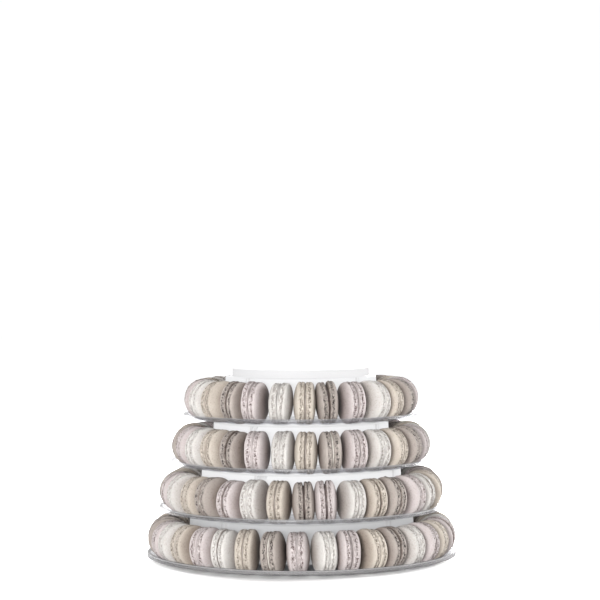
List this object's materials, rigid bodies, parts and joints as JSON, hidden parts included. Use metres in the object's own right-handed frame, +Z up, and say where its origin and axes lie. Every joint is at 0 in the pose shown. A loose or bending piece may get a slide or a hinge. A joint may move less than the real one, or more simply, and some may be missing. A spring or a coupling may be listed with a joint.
{
  "type": "macaron tower",
  "caption": "Round stepped tower of clear plastic trays, each with a ring of macarons standing on edge in pink, white, beige and taupe.",
  "frame": {"origin": "on the tower's vertical axis, at the plane that the lowest tray stands on", "axes": "+Z up along the tower's axis, -Y towards the front, +X to the right seen from the front"},
  "size_m": [0.3444, 0.3444, 0.2106],
  "materials": {
    "clear_sheet": "clear glossy thermoformed sheet",
    "macaron_shells": "matte baked shells, in four pale colours in turn"
  },
  "bodies": {
    "root": {"tier_1_tray": "clear_sheet", "tier_1_macarons_01": "macaron_shells", "tier_1_macarons_02": "macaron_shells", "tier_1_macarons_03": "macaron_shells", "tier_1_macarons_04": "macaron_shells", "tier_1_macarons_05": "macaron_shells", "tier_1_macarons_06": "macaron_shells", "tier_1_macarons_07": "macaron_shells", "tier_1_macarons_08": "macaron_shells", "tier_1_macarons_09": "macaron_shells", "tier_1_macarons_10": "macaron_shells", "tier_1_macarons_11": "macaron_shells", "tier_1_macarons_12": "macaron_shells", "tier_2_tray": "clear_sheet", "tier_2_macarons_01": "macaron_shells", "tier_2_macarons_02": "macaron_shells", "tier_2_macarons_03": "macaron_shells", "tier_2_macarons_04": "macaron_shells", "tier_2_macarons_05": "macaron_shells", "tier_2_macarons_06": "macaron_shells", "tier_2_macarons_07": "macaron_shells", "tier_2_macarons_08": "macaron_shells", "tier_2_macarons_09": "macaron_shells", "tier_2_macarons_10": "macaron_shells", "tier_2_macarons_11": "macaron_shells", "tier_3_tray": "clear_sheet", "tier_3_macarons_01": "macaron_shells", "tier_3_macarons_02": "macaron_shells", "tier_3_macarons_03": "macaron_shells", "tier_3_macarons_04": "macaron_shells", "tier_3_macarons_05": "macaron_shells", "tier_3_macarons_06": "macaron_shells", "tier_3_macarons_07": "macaron_shells", "tier_3_macarons_08": "macaron_shells", "tier_3_macarons_09": "macaron_shells", "tier_3_macarons_10": "macaron_shells", "tier_4_tray": "clear_sheet", "tier_4_macarons_01": "macaron_shells", "tier_4_macarons_02": "macaron_shells", "tier_4_macarons_03": "macaron_shells", "tier_4_macarons_04": "macaron_shells", "tier_4_macarons_05": "macaron_shells", "tier_4_macarons_06": "macaron_shells", "tier_4_macarons_07": "macaron_shells", "tier_4_macarons_08": "macaron_shells", "tier_4_macarons_09": "macaron_shells"}
  },
  "joints": []
}
